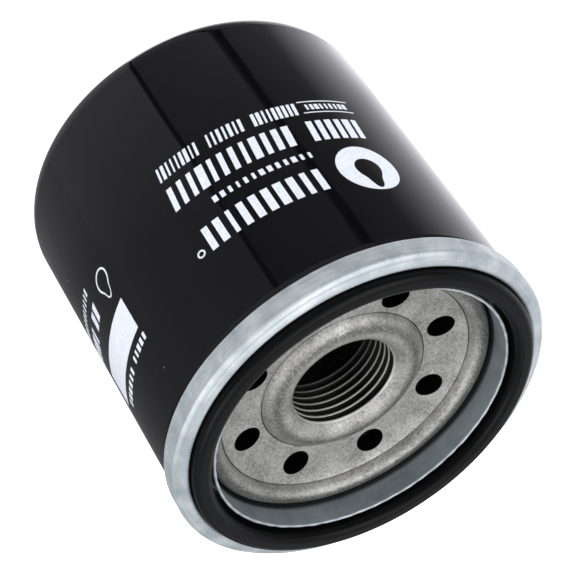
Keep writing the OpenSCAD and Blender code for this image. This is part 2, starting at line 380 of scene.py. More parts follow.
valve_rubber = moulded_rubber("moulded_nitrile", "#0f0f10", "#171718", 0.6)
for part in ("anti_drain_rim", "anti_drain_lip"):
    give(part, valve_rubber)
WEB_LOW, WEB_HIGH = (corner[2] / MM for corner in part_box("anti_drain_web"))
# radius, share of the rise from the rim to the lip, and thickness
web_line = [(14.53, 0, 1), (16.8, 0.3, 0.96), (19.2, 0.68, 0.96), (21.6, 1, 1)]
web_rise = WEB_HIGH - web_line[-1][2] - WEB_LOW
web = turned("folding_web", [(r, WEB_LOW + web_rise * share) for r, share, thick in web_line]
             + [(r, WEB_LOW + web_rise * share + thick) for r, share, thick in web_line[::-1]], 96)
web.data.materials.append(valve_rubber)
web.data.set_sharp_from_angle(angle=math.radians(40))
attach(web, "housing")
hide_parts("anti_drain_web")
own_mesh(web)


# ---- Base plate --------------------------------------------------------------------------------
# Pressed from thick mild steel: the collar is drawn down and tapped M20 x 1.5, its mouth rolled
# over into a boss, eight holes punched. Tumbled, then phosphated to a warm mottled grey.

DATUM = 59.0            # height of the flat zone round the holes, in mm
HOLES, HOLE_CIRCLE, HOLE_R = 8, 18.3, 2.375
THREAD_PITCH, CREST_R = 1.5, 9.2


def arc(cx, cz, radius, start, stop, steps):
    """points of an arc in the turning plane, angles in degrees from the outward direction"""
    return [(cx + radius * math.cos(math.radians(a)), cz + radius * math.sin(math.radians(a)))
            for a in np.linspace(start, stop, steps)]


def groove(r, z, width=0.09, depth=0.16):
    """a fine sunk line in an upward face, as the press leaves between two forms"""
    return [(r + width, z), (r + width * 0.4, z - depth * 0.8), (r, z - depth),
            (r - width * 0.4, z - depth * 0.8), (r - width, z)]


def plate_outline():
    """closed outline of the plate, from the outer edge inwards over the top, back underneath"""
    top = [(30.9, -1.4), (30.9, 0.7), (30.7, 0.9), (27.5, 0.9), (26.2, 0.9)]
    top += arc(24.25, 1.25, 1.75, 0, 112, 20)
    top += [(23.32, 2.68), (23.06, 2.38), (22.86, 1.98), (22.72, 1.55), (22.62, 1.2)]
    top += groove(22.5, 1.02, 0.08)
    top += [(22.1, 0.88), (21.6, 0.68), (20.8, 0.42), (19.6, 0.2), (18.3, 0.02), (16.8, -0.16),
            (15.4, -0.3)]
    top += groove(14.78, -0.36)
    top += arc(11.9, -2.0, 3.2, 36, 145.9, 40)
    top += [(9.21, -0.34), (9.27, -0.47), (9.7, -0.8), (10.0, -1.05)]
    bore = [(10.0, z) for z in np.linspace(-1.5, -9.9, 8)]
    low = [(10.1, -10.3), (10.4, -10.5), (11.4, -10.5), (11.7, -10.2)]
    low += arc(12.5, -3.4, 0.8, 180, 90, 6)
    low += [(20.5, -2.6), (22.5, -2.6), (23.0, -1.9), (23.25, -1.7), (30.7, -1.7)]
    return [(r, q + DATUM) for r, q in top + bore + low]


def punch_tree():
    """a node tree that sets the punches round the pitch circle"""
    tree = bpy.data.node_groups.new("punch_ring", "GeometryNodeTree")
    for label, kind in (("Punch", "NodeSocketGeometry"), ("Holes", "NodeSocketInt"),
                        ("Pitch radius", "NodeSocketFloat"), ("Steel", "NodeSocketMaterial")):
        tree.interface.new_socket(label, in_out="INPUT", socket_type=kind)
    tree.interface.new_socket("Punches", in_out="OUTPUT", socket_type="NodeSocketGeometry")
    given = add(tree, "NodeGroupInput")
    ring = add(tree, "GeometryNodeMeshCircle", {},
               {"Vertices": given.outputs["Holes"], "Radius": given.outputs["Pitch radius"]})
    placed = add(tree, "GeometryNodeInstanceOnPoints", {},
                 {"Points": ring.outputs[0], "Instance": given.outputs["Punch"]})
    real = add(tree, "GeometryNodeRealizeInstances", {}, {0: placed.outputs[0]})
    coloured = add(tree, "GeometryNodeSetMaterial", {},
                   {"Geometry": real.outputs[0], "Material": given.outputs["Steel"]})
    add(tree, "NodeGroupOutput", {}, {0: coloured.outputs[0]})
    return tree


def punch():
    """one round punch, a hair wider towards its shoulder"""
    sides = 40
    mesh = bmesh.new()
    loops = []
    for z, radius in ((-5.0, HOLE_R), (-1.0, HOLE_R), (2.4, HOLE_R + 0.025)):
        loops.append([mesh.verts.new((radius * MM * math.cos(math.tau * k / sides),
                                      radius * MM * math.sin(math.tau * k / sides),
                                      (DATUM + z) * MM)) for k in range(sides)])
    for low, high in zip(loops, loops[1:]):
        for k in range(sides):
            n = (k + 1) % sides
            mesh.faces.new((low[k], low[n], high[n], high[k]))
    mesh.faces.new(list(reversed(loops[0])))
    mesh.faces.new(loops[-1])
    tool = bpy.data.meshes.new("punch")
    mesh.to_mesh(tool)
    mesh.free()
    return tool


def thread_tree():
    """a node tree that sweeps the thread form along a right handed helix"""
    tree = bpy.data.node_groups.new("thread_form", "GeometryNodeTree")
    for label, kind in (("Turns", "NodeSocketFloat"), ("Pitch", "NodeSocketFloat"),
                        ("Radius", "NodeSocketFloat"), ("Depth", "NodeSocketFloat"),
                        ("Start height", "NodeSocketFloat"), ("Steel", "NodeSocketMaterial")):
        tree.interface.new_socket(label, in_out="INPUT", socket_type=kind)
    tree.interface.new_socket("Thread", in_out="OUTPUT", socket_type="NodeSocketGeometry")
    given = add(tree, "NodeGroupInput")
    rise = add(tree, "ShaderNodeMath", {"operation": "MULTIPLY"},
               {0: given.outputs["Turns"], 1: given.outputs["Pitch"]})
    helix = add(tree, "GeometryNodeCurveSpiral", {"Resolution": 128},
                {"Rotations": given.outputs["Turns"], "Start Radius": given.outputs["Radius"],
                 "End Radius": given.outputs["Radius"], "Height": rise.outputs[0]})
    root = add(tree, "ShaderNodeMath", {"operation": "MULTIPLY", 1: 0.94},
               {0: given.outputs["Pitch"]})
    crest = add(tree, "ShaderNodeMath", {"operation": "MULTIPLY", 1: 0.16},
                {0: given.outputs["Pitch"]})
    form = add(tree, "GeometryNodeCurvePrimitiveQuadrilateral", {"mode": "TRAPEZOID", "Offset": 0},
               {"Bottom Width": root.outputs[0], "Top Width": crest.outputs[0],
                "Height": given.outputs["Depth"]})
    upright = add(tree, "GeometryNodeSetCurveNormal", {"mode": "Z_UP"}, {"Curve": helix.outputs[0]})
    turned_form = add(tree, "GeometryNodeTransform", {"Rotation": (0, 0, -math.pi / 2)},
                      {"Geometry": form.outputs[0]})
    swept = add(tree, "GeometryNodeCurveToMesh", {"Fill Caps": True},
                {"Curve": upright.outputs[0], "Profile Curve": turned_form.outputs[0]})
    lift = add(tree, "ShaderNodeCombineXYZ", {}, {"Z": given.outputs["Start height"]})
    placed = add(tree, "GeometryNodeTransform", {},
                 {"Geometry": swept.outputs[0], "Translation": lift.outputs[0]})
    real = add(tree, "GeometryNodeRealizeInstances", {}, {0: placed.outputs[0]})
    coloured = add(tree, "GeometryNodeSetMaterial", {},
                   {"Geometry": real.outputs[0], "Material": given.outputs["Steel"]})
    add(tree, "NodeGroupOutput", {}, {0: coloured.outputs[0]})
    return tree


def around(tree, place):
    """(direction round the axis, distance from it) of a point, for patterns on turned faces"""
    flat = add(tree, "ShaderNodeVectorMath", {"operation": "MULTIPLY", 1: (1, 1, 0)}, {0: place})
    out = add(tree, "ShaderNodeVectorMath", {"operation": "LENGTH"}, {0: flat.outputs[0]})
    way = add(tree, "ShaderNodeVectorMath", {"operation": "NORMALIZE"}, {0: flat.outputs[0]})
    return way.outputs[0], out.outputs["Value"]


def band(tree, value, middle_mm, half_mm):
    """1 at a distance in mm, falling smoothly to 0 half_mm either side"""
    off = add(tree, "ShaderNodeMath", {"operation": "SUBTRACT", 1: middle_mm * MM}, {0: value})
    away = add(tree, "ShaderNodeMath", {"operation": "ABSOLUTE"}, {0: off.outputs[0]})
    return add(tree, "ShaderNodeMapRange",
               {"interpolation_type": "SMOOTHSTEP", 1: 0, 2: half_mm * MM, 3: 1, 4: 0},
               {0: away.outputs[0]}).outputs[0]


def scratches(tree, place, spacing_mm, thin, turn):
    """thin straight bright marks, as parts leave on each other in the tumbling drum"""
    spun = add(tree, "ShaderNodeMapping", {"Rotation": (0, 0, turn), "Scale": (1, 0.06, 1)},
               {"Vector": place})
    lines = add(tree, "ShaderNodeTexVoronoi",
                {"feature": "DISTANCE_TO_EDGE", "Scale": 1 / (spacing_mm * MM)},
                {"Vector": spun.outputs[0]})
    close = add(tree, "ShaderNodeMapRange", {1: 0, 2: thin, 3: 1, 4: 0},
                {0: lines.outputs["Distance"]})
    patches = add(tree, "ShaderNodeTexNoise",
                  {"Scale": 1 / (7 * MM), "Detail": 3, "Roughness": 0.55}, {"Vector": place})
    where = add(tree, "ShaderNodeMapRange", {1: 0.52, 2: 0.6}, {0: patches.outputs[0]})
    return add(tree, "ShaderNodeMath", {"operation": "MULTIPLY"},
               {0: close.outputs[0], 1: where.outputs[0]}).outputs[0]


def hole_walls(tree, way, out):
    """1 inside the inlet holes: eight equal sectors are laid over one, and the distance to that
    sector's hole is measured"""
    side = add(tree, "ShaderNodeSeparateXYZ", {}, {0: way})
    turn = add(tree, "ShaderNodeMath", {"operation": "ARCTAN2"},
               {0: side.outputs["Y"], 1: side.outputs["X"]})
    step = add(tree, "ShaderNodeMath",
               {"operation": "WRAP", 1: math.pi / HOLES, 2: -math.pi / HOLES},
               {0: turn.outputs[0]})
    level = add(tree, "ShaderNodeMath", {"operation": "COSINE"}, {0: step.outputs[0]})
    steep = add(tree, "ShaderNodeMath", {"operation": "SINE"}, {0: step.outputs[0]})
    across = add(tree, "ShaderNodeMath", {"operation": "MULTIPLY"}, {0: out, 1: level.outputs[0]})
    along = add(tree, "ShaderNodeMath", {"operation": "MULTIPLY"}, {0: out, 1: steep.outputs[0]})
    spot = add(tree, "ShaderNodeCombineXYZ", {}, {"X": across.outputs[0], "Y": along.outputs[0]})
    off = add(tree, "ShaderNodeVectorMath",
              {"operation": "DISTANCE", 1: (HOLE_CIRCLE * MM, 0, 0)}, {0: spot.outputs[0]})
    return add(tree, "ShaderNodeMapRange",
               {1: (HOLE_R + 0.075) * MM, 2: (HOLE_R + 0.035) * MM},
               {0: off.outputs["Value"]}).outputs[0]


def phosphated_steel():
    """zinc phosphate over tumbled steel. It gives the eye a fine grey crystal mottling with bright
    wear flecks and scratches, painted shade (darker boss and bead, near black creases, lid corner,
    hole walls and bore) and painted highlights on the thread crests and the rim"""
    finish, tree, place = start_finish("phosphated_mild_steel")
    way, out = around(tree, place)
    up = add(tree, "ShaderNodeSeparateXYZ", {}, {0: place}).outputs["Z"]

    crystals = add(tree, "ShaderNodeTexNoise",
                   {"Scale": 1 / (0.5 * MM), "Detail": 6, "Roughness": 0.8}, {"Vector": place})
    clouds = add(tree, "ShaderNodeTexNoise",
                 {"Scale": 1 / (4.5 * MM), "Detail": 3, "Roughness": 0.55}, {"Vector": place})
    fine = add(tree, "ShaderNodeMapRange", {1: 0.38, 2: 0.62, 4: 0.66}, {0: crystals.outputs[0]})
    slow = add(tree, "ShaderNodeMapRange", {1: 0.35, 2: 0.65, 4: 0.34}, {0: clouds.outputs[0]})
    mottle = add(tree, "ShaderNodeMath", {"operation": "ADD"},
                 {0: fine.outputs[0], 1: slow.outputs[0]})
    grey = add(tree, "ShaderNodeMix",
               {"data_type": "RGBA", 6: linear("#74736f"), 7: linear("#cfcec9")},
               {0: mottle.outputs[0]})

    # the boss and the bead: painted shade makes both rings darker all round, and bright wear flecks
    # lie on them
    rings = add(tree, "ShaderNodeMath", {"operation": "MAXIMUM"},
                {0: band(tree, out, 12.6, 1.5), 1: band(tree, out, 24.3, 1.3)})
    ring_shade_share = add(tree, "ShaderNodeMapRange", {4: 0.72}, {0: rings.outputs[0]})
    rings_painted_shade = add(tree, "ShaderNodeMix", {"data_type": "RGBA", 7: linear("#4a4946")},
                 {0: ring_shade_share.outputs[0], 6: grey.outputs[2]})
    specks = add(tree, "ShaderNodeTexNoise",
                 {"Scale": 1 / (0.32 * MM), "Detail": 3, "Roughness": 0.8}, {"Vector": place})
    flecks = add(tree, "ShaderNodeMapRange", {1: 0.56, 2: 0.62, 4: 0.9}, {0: specks.outputs[0]})
    exposed = add(tree, "ShaderNodeMapRange", {3: 0.14, 4: 0.7}, {0: rings.outputs[0]})
    rubbed = add(tree, "ShaderNodeMath", {"operation": "MULTIPLY"},
                 {0: flecks.outputs[0], 1: exposed.outputs[0]})
    patchy = add(tree, "ShaderNodeMapRange", {1: 0.48, 2: 0.56, 4: 0.85}, {0: clouds.outputs[0]})
    nicks = add(tree, "ShaderNodeMath", {"operation": "MULTIPLY"},
                {0: scratches(tree, place, 1.5, 0.025, 0.7), 1: patchy.outputs[0]})

    # painted highlights: bright thread crests, dimmed further down the bore as painted shade, and a
    # bright rim at the mouth
    # the bore below its mouth, where painted shade goes near black
    bore_shade_mask = add(tree, "ShaderNodeMapRange", {1: (DATUM - 0.42) * MM, 2: (DATUM - 0.8) * MM},
               {0: up})
    bore_shade_fade = add(tree, "ShaderNodeMapRange",
              {1: (DATUM - 8.5) * MM, 2: (DATUM - 2.5) * MM, 3: 0.12, 4: 1}, {0: up})
    in_bore = add(tree, "ShaderNodeMath", {"operation": "MULTIPLY"},
                  {0: bore_shade_mask.outputs[0], 1: bore_shade_fade.outputs[0]})
    # painted highlight along the thread crests, weaker deeper in the bore
    crest = add(tree, "ShaderNodeMath", {"operation": "MULTIPLY"},
                {0: band(tree, out, CREST_R, 0.2), 1: in_bore.outputs[0]})
    mouth = add(tree, "ShaderNodeMapRange", {1: (DATUM + 0.15) * MM, 2: (DATUM - 0.05) * MM},
                {0: up})
    # painted highlight round the rim of the bore's mouth
    rim = add(tree, "ShaderNodeMath", {"operation": "MULTIPLY"},
              {0: band(tree, out, 9.3, 0.22), 1: mouth.outputs[0]})
    # bright mix: wear flecks and scratches, plus the painted highlights on the crests and the rim
    wear_and_highlights = rubbed
    for mark in (nicks, crest, rim):
        wear_and_highlights = add(tree, "ShaderNodeMath", {"operation": "MAXIMUM"},
                   {0: wear_and_highlights.outputs[0], 1: mark.outputs[0]})
    bright = add(tree, "ShaderNodeMix", {"data_type": "RGBA", 7: linear("#dcdbd6")},
                 {0: wear_and_highlights.outputs[0], 6: rings_painted_shade.outputs[2]})

    # painted shade: near black in the press lines, the corner at the lid, the hole walls and the
    # bore, kept off the crests
    painted_shade = bore_shade_mask
    for mask in (band(tree, out, 14.78, 0.14), band(tree, out, 22.5, 0.13),
                 band(tree, out, 26.3, 1.3), hole_walls(tree, way, out)):
        painted_shade = add(tree, "ShaderNodeMath", {"operation": "MAXIMUM"},
                    {0: painted_shade.outputs[0], 1: mask})
    dark = add(tree, "ShaderNodeMath", {"operation": "SUBTRACT"},
               {0: painted_shade.outputs[0], 1: crest.outputs[0]})
    colour = add(tree, "ShaderNodeMix", {"data_type": "RGBA", 7: linear("#0a0a0a")},
                 {0: dark.outputs[0], 6: bright.outputs[2]})
    gloss = add(tree, "ShaderNodeMapRange", {1: 0.3, 2: 0.7, 3: 0.54, 4: 0.4},
                {0: crystals.outputs[0]})
    bumps = add(tree, "ShaderNodeBump", {"Strength": 0.6, "Distance": 0.11 * MM},
                {"Height": crystals.outputs[0]})
    shader = add(tree, "ShaderNodeBsdfPrincipled", {"Metallic": 0.75},
                 {"Base Color": colour.outputs[2], "Roughness": gloss.outputs[0],
                  "Normal": bumps.outputs[0]})
    add(tree, "ShaderNodeOutputMaterial", {}, {"Surface": shader.outputs[0]})
    return finish


def joined(name, pieces):
    """makes several objects one"""
    mesh = bmesh.new()
    for piece in pieces:
        mesh.from_mesh(piece.data)
    whole = bpy.data.meshes.new(name)
    mesh.to_mesh(whole)
    mesh.free()
    for piece in pieces:
        bpy.data.objects.remove(piece)
    one = bpy.data.objects.new(name, whole)
    bpy.context.scene.collection.objects.link(one)
    return one


def applied(piece):
    """keeps a piece's modifiers as plain mesh"""
    bpy.context.view_layer.update()
    seen = piece.evaluated_get(bpy.context.evaluated_depsgraph_get())
    plain = bpy.data.meshes.new_from_object(seen)
    piece.modifiers.clear()
    piece.data = plain


plate_steel = phosphated_steel()
blank = turned("plate_blank", plate_outline(), 192)
blank.data.materials.append(plate_steel)
punches = grown("punches", punch(), punch_tree(),
                {"Holes": HOLES, "Pitch radius": HOLE_CIRCLE * MM, "Steel": plate_steel})
cut = blank.modifiers.new("holes", "BOOLEAN")
cut.operation = "DIFFERENCE"
cut.solver = "EXACT"
cut.object = punches
applied(blank)
bpy.data.objects.remove(punches)
thread = grown("tapped_thread", bpy.data.meshes.new("none"), thread_tree(),
               {"Turns": 6.0, "Pitch": THREAD_PITCH * MM, "Radius": 9.62 * MM, "Depth": 0.84 * MM,
                "Start height": (DATUM - 9.65) * MM, "Steel": plate_steel})
plate = joined("threaded_base_plate", [blank, thread])
plate.data.materials.append(plate_steel)
plate.data.set_sharp_from_angle(angle=math.radians(38))
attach(plate, "housing")
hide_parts("base_plate")


# ---- Lid and rolled seam -----------------------------------------------------------------------
# Thin steel lid, zinc plated and blue passivated. Its rim is rolled over the can's hook into the
# thick silver ring, and its middle is sheared out to leave a rough edged lip round the plate.

def lid_outline():
    """closed outline of the lid: lip, channel, top of the seam, skirt, hook and back inside"""
    lip = [(26.1, 1.3), (26.1, 2.4), (26.1, 4.0), (26.1, 5.6), (26.1, 6.8), (26.14, 7.1),
           (26.24, 7.2), (26.46, 7.18), (26.58, 7.08), (26.6, 6.8), (26.6, 5.4), (26.6, 3.6)]
    channel = arc(27.1, 1.9, 0.5, 180, 270, 6) + arc(30.3, 1.9, 0.5, 270, 360, 6)
    wall = [(30.8, 3.6), (30.8, 5.2), (30.8, 6.6)] + arc(31.35, 6.95, 0.55, 180, 80, 9)
    roof = [(31.9, 7.42), (32.3, 7.2)] + [(32.55, 7.12), (32.75, 7.1), (32.95, 6.98)]
    skirt = arc(32.66, 6.2, 0.8, 62, 0, 9) + [(33.46, 5.4), (33.44, 4.6), (33.46, 3.9)]
    turn_in = arc(33.06, 3.6, 0.4, 0, -90, 7) + [(32.6, 3.2)]
    hook = arc(32.31, 3.45, 0.25, -90, -180, 5) + [(32.06, 4.6), (32.06, 6.05), (32.16, 6.15),
                                                    (32.31, 6.15), (32.41, 6.05), (32.41, 4.4)]
    inside = [(32.5, 3.85), (32.9, 3.85), (32.96, 4.4), (32.96, 6.4), (32.78, 6.82),
              (32.36, 7.0), (31.5, 7.0), (31.3, 6.8), (31.3, 5.0), (31.3, 3.0), (31.3, 1.7)]
    under = arc(30.5, 1.7, 0.8, 0, -90, 6) + [(27.4, 0.9)] + arc(26.6, 1.4, 0.5, -90, -180, 5)
    ordered = lip + channel + wall + roof + skirt + turn_in + hook + inside + under
    return [(r, q + DATUM) for r, q in reversed(ordered)]


lid_points = lid_outline()


def sheared(k, angle):
    """the torn edge of the lip and the slight unevenness of the rolling"""
    r, z = lid_points[k]
    q = z - DATUM
    if q > 6.6 and r < 27:
        tear = math.sin(angle * 37 + 1.3) * math.sin(angle * 11) + 0.5 * math.sin(angle * 71)
        return 0.025 * math.sin(angle * 53 + k), 0.04 * tear - 0.04 + 0.03 * math.sin(angle * 3)
    if r > 31.4 and q > 3:
        wave = math.sin(angle * 9 + 0.8) + 0.7 * math.sin(angle * 17 + 2.0)
        return -0.02 + 0.012 * wave, 0.014 * math.sin(angle * 13) - 0.03
    return 0, 0


def zinc_plate():
    """bright zinc under a blue passivation. It gives the eye a cool cloudy silver, faint streaks
    from the rolling round the ring, and a greyer sheared lip with painted shade near black at its
    foot and a painted highlight along its torn edge"""
    finish, tree, place = start_finish("blue_passivated_zinc")
    way, out = around(tree, place)
    up = add(tree, "ShaderNodeSeparateXYZ", {}, {0: place}).outputs["Z"]

    # streaks: noise that changes slowly along the ring and quickly across it
    slow = add(tree, "ShaderNodeVectorMath", {"operation": "SCALE", "Scale": 2.2}, {0: way})
    height = add(tree, "ShaderNodeMath", {"operation": "MULTIPLY", 1: 1 / (0.5 * MM)}, {0: up})
    raised = add(tree, "ShaderNodeCombineXYZ", {}, {"Z": height.outputs[0]})
    spot = add(tree, "ShaderNodeVectorMath", {"operation": "ADD"},
               {0: slow.outputs[0], 1: raised.outputs[0]})
    depth = add(tree, "ShaderNodeMath", {"operation": "MULTIPLY", 1: 1 / (0.5 * MM)}, {0: out})
    streaks = add(tree, "ShaderNodeTexNoise",
                  {"noise_dimensions": "4D", "Scale": 1.0, "Detail": 4, "Roughness": 0.6},
                  {"Vector": spot.outputs[0], "W": depth.outputs[0]})
    streaky = add(tree, "ShaderNodeMapRange", {1: 0.2, 2: 0.8, 4: 0.28}, {0: streaks.outputs[0]})
    clouds = add(tree, "ShaderNodeTexNoise",
                 {"Scale": 1 / (4 * MM), "Detail": 4, "Roughness": 0.55}, {"Vector": place})
    mixed = add(tree, "ShaderNodeMath", {"operation": "MULTIPLY_ADD", 1: 0.72},
                {0: clouds.outputs[0], 2: streaky.outputs[0]})
    tone = add(tree, "ShaderNodeMapRange", {1: 0.3, 2: 0.72}, {0: mixed.outputs[0]})
    silver = add(tree, "ShaderNodeMix",
                 {"data_type": "RGBA", 6: linear("#a0abb1"), 7: linear("#dae0e2")},
                 {0: tone.outputs[0]})
    dots = add(tree, "ShaderNodeTexNoise",
               {"Scale": 1 / (0.8 * MM), "Detail": 2, "Roughness": 0.55}, {"Vector": place})
    salts = add(tree, "ShaderNodeMapRange", {1: 0.66, 2: 0.74, 4: 0.55}, {0: dots.outputs[0]})
    whitened = add(tree, "ShaderNodeMix", {"data_type": "RGBA", 7: linear("#f0f4f6")},
                   {0: salts.outputs[0], 6: silver.outputs[2]})

    # the lip: greyer where the shear thinned the zinc, painted shade near black low down by the
    # plate, and a painted highlight at the torn edge
    thinned = add(tree, "ShaderNodeMapRange", {1: 26.9 * MM, 2: 26.5 * MM, 4: 0.62}, {0: out})
    greyed = add(tree, "ShaderNodeMix", {"data_type": "RGBA", 7: linear("#5d6a72")},
                 {0: thinned.outputs[0], 6: whitened.outputs[2]})
    on_lip = add(tree, "ShaderNodeMapRange", {1: 26.9 * MM, 2: 26.5 * MM, 4: 0.9}, {0: out})
    # painted shade: the foot of the lip, next to the plate, goes near black
    low = add(tree, "ShaderNodeMapRange",
              {1: (DATUM + 2.9) * MM, 2: (DATUM + 3.6) * MM, 3: 1, 4: 0}, {0: up})
    corner = add(tree, "ShaderNodeMath", {"operation": "MULTIPLY"},
                 {0: on_lip.outputs[0], 1: low.outputs[0]})
    lip_foot_shade = add(tree, "ShaderNodeMix", {"data_type": "RGBA", 7: linear("#0c0c0c")},
               {0: corner.outputs[0], 6: greyed.outputs[2]})
    # painted highlight: a near white line along the torn top edge of the lip
    top = add(tree, "ShaderNodeMapRange", {1: (DATUM + 6.85) * MM, 2: (DATUM + 7.05) * MM},
              {0: up})
    inner = add(tree, "ShaderNodeMapRange", {1: 26.9 * MM, 2: 26.7 * MM, 4: 0.7}, {0: out})
    torn_edge_highlight = add(tree, "ShaderNodeMath", {"operation": "MULTIPLY"},
               {0: top.outputs[0], 1: inner.outputs[0]})
    colour = add(tree, "ShaderNodeMix", {"data_type": "RGBA", 7: linear("#dbe2e6")},
                 {0: torn_edge_highlight.outputs[0], 6: lip_foot_shade.outputs[2]})
    gloss = add(tree, "ShaderNodeMapRange", {1: 0.25, 2: 0.75, 3: 0.4, 4: 0.52},
                {0: streaks.outputs[0]})
    bumps = add(tree, "ShaderNodeBump", {"Strength": 0.6, "Distance": 0.03 * MM},
                {"Height": mixed.outputs[0]})
    shader = add(tree, "ShaderNodeBsdfPrincipled", {"Metallic": 0.55},
                 {"Base Color": colour.outputs[2], "Roughness": gloss.outputs[0],
                  "Normal": bumps.outputs[0]})
    add(tree, "ShaderNodeOutputMaterial", {}, {"Surface": shader.outputs[0]})
    return finish


lid = turned("rolled_lid", lid_points, 384, sheared)
lid.data.materials.append(zinc_plate())
lid.data.set_sharp_from_angle(angle=math.radians(50))
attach(lid, "housing")
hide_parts("seaming_lid")
give("seam_compound", moulded_rubber("latex_seaming_compound", "#3c4a45", "#4c5a54", 0.6))


# ---- Can ---------------------------------------------------------------------------------------
# Deep drawn steel cup, sprayed and stoved with gloss black enamel. The film is mirror smooth with
# a faint orange peel, and picks up stray dust.

def stoved_enamel():
    """gloss black stoving enamel. It gives the eye a deep black mirror with a faint orange peel,
    a slightly wiped look in the reflections and a few grains of pale dust"""
    finish, tree, place = start_finish("stoved_black_enamel")
    tint = add(tree, "ShaderNodeTexNoise",
               {"Scale": 1 / (14 * MM), "Detail": 3, "Roughness": 0.55}, {"Vector": place})
    black = add(tree, "ShaderNodeMix",
                {"data_type": "RGBA", 6: linear("#08080a"), 7: linear("#0d0d10")},
                {0: tint.outputs[0]})
    cells = add(tree, "ShaderNodeTexVoronoi", {"Scale": 1 / (3.4 * MM)}, {"Vector": place})
    grain = add(tree, "ShaderNodeMapRange", {1: 0.022, 2: 0.05, 3: 1, 4: 0},
                {0: cells.outputs["Distance"]})
    chosen = add(tree, "ShaderNodeSeparateColor", {}, {0: cells.outputs["Color"]})
    few = add(tree, "ShaderNodeMapRange", {1: 0.7, 2: 0.9, 4: 0.9}, {0: chosen.outputs[0]})
    dust = add(tree, "ShaderNodeMath", {"operation": "MULTIPLY"},
               {0: grain.outputs[0], 1: few.outputs[0]})
    colour = add(tree, "ShaderNodeMix", {"data_type": "RGBA", 7: linear("#c9c9cc")},
                 {0: dust.outputs[0], 6: black.outputs[2]})
    wiped = add(tree, "ShaderNodeTexNoise",
                {"Scale": 1 / (9 * MM), "Detail": 5, "Roughness": 0.55}, {"Vector": place})
    gloss = add(tree, "ShaderNodeMapRange", {1: 0.3, 2: 0.8, 3: 0.02, 4: 0.055},
                {0: wiped.outputs[0]})
    peel = add(tree, "ShaderNodeTexNoise",
               {"Scale": 1 / (1.6 * MM), "Detail": 2, "Roughness": 0.55}, {"Vector": place})
    bumps = add(tree, "ShaderNodeBump", {"Strength": 0.6, "Distance": 0.0035 * MM},
                {"Height": peel.outputs[0]})
    shader = add(tree, "ShaderNodeBsdfPrincipled", {"IOR": 1.5},
                 {"Base Color": colour.outputs[2], "Roughness": gloss.outputs[0],
                  "Normal": bumps.outputs[0]})
    add(tree, "ShaderNodeOutputMaterial", {}, {"Surface": shader.outputs[0]})
    return finish


give("can", stoved_enamel())


# ---- Printing on the can -----------------------------------------------------------------------
# Two screen printed panels of white ink: plain blocks in place of wording, an oil drop badge, a
# drop pictogram and a write-on patch. The ink stands a few hundredths proud and is satin.

CAN_R = 32.5
FILM = 0.06


def white_ink():
    """screen printed ink. It gives the eye a satin off-white, slightly uneven where the black
    shows through the mesh marks"""
    finish, tree, place = start_finish("screen_printed_white_ink")
    mesh_marks = add(tree, "ShaderNodeTexNoise",
                     {"Scale": 1 / (0.5 * MM), "Detail": 5, "Roughness": 0.55},
                     {"Vector": place})
    cover = add(tree, "ShaderNodeMapRange", {1: 0.3, 2: 0.7}, {0: mesh_marks.outputs[0]})
    colour = add(tree, "ShaderNodeMix",
                 {"data_type": "RGBA", 6: linear("#c6ccd6"), 7: linear("#dfe4ec")},
                 {0: cover.outputs[0]})
    bumps = add(tree, "ShaderNodeBump", {"Strength": 0.6, "Distance": 0.01 * MM},
                {"Height": cover.outputs[0]})
    shader = add(tree, "ShaderNodeBsdfPrincipled", {"Roughness": 0.32},
                 {"Base Color": colour.outputs[2], "Normal": bumps.outputs[0]})
    add(tree, "ShaderNodeOutputMaterial", {}, {"Surface": shader.outputs[0]})
    return finish


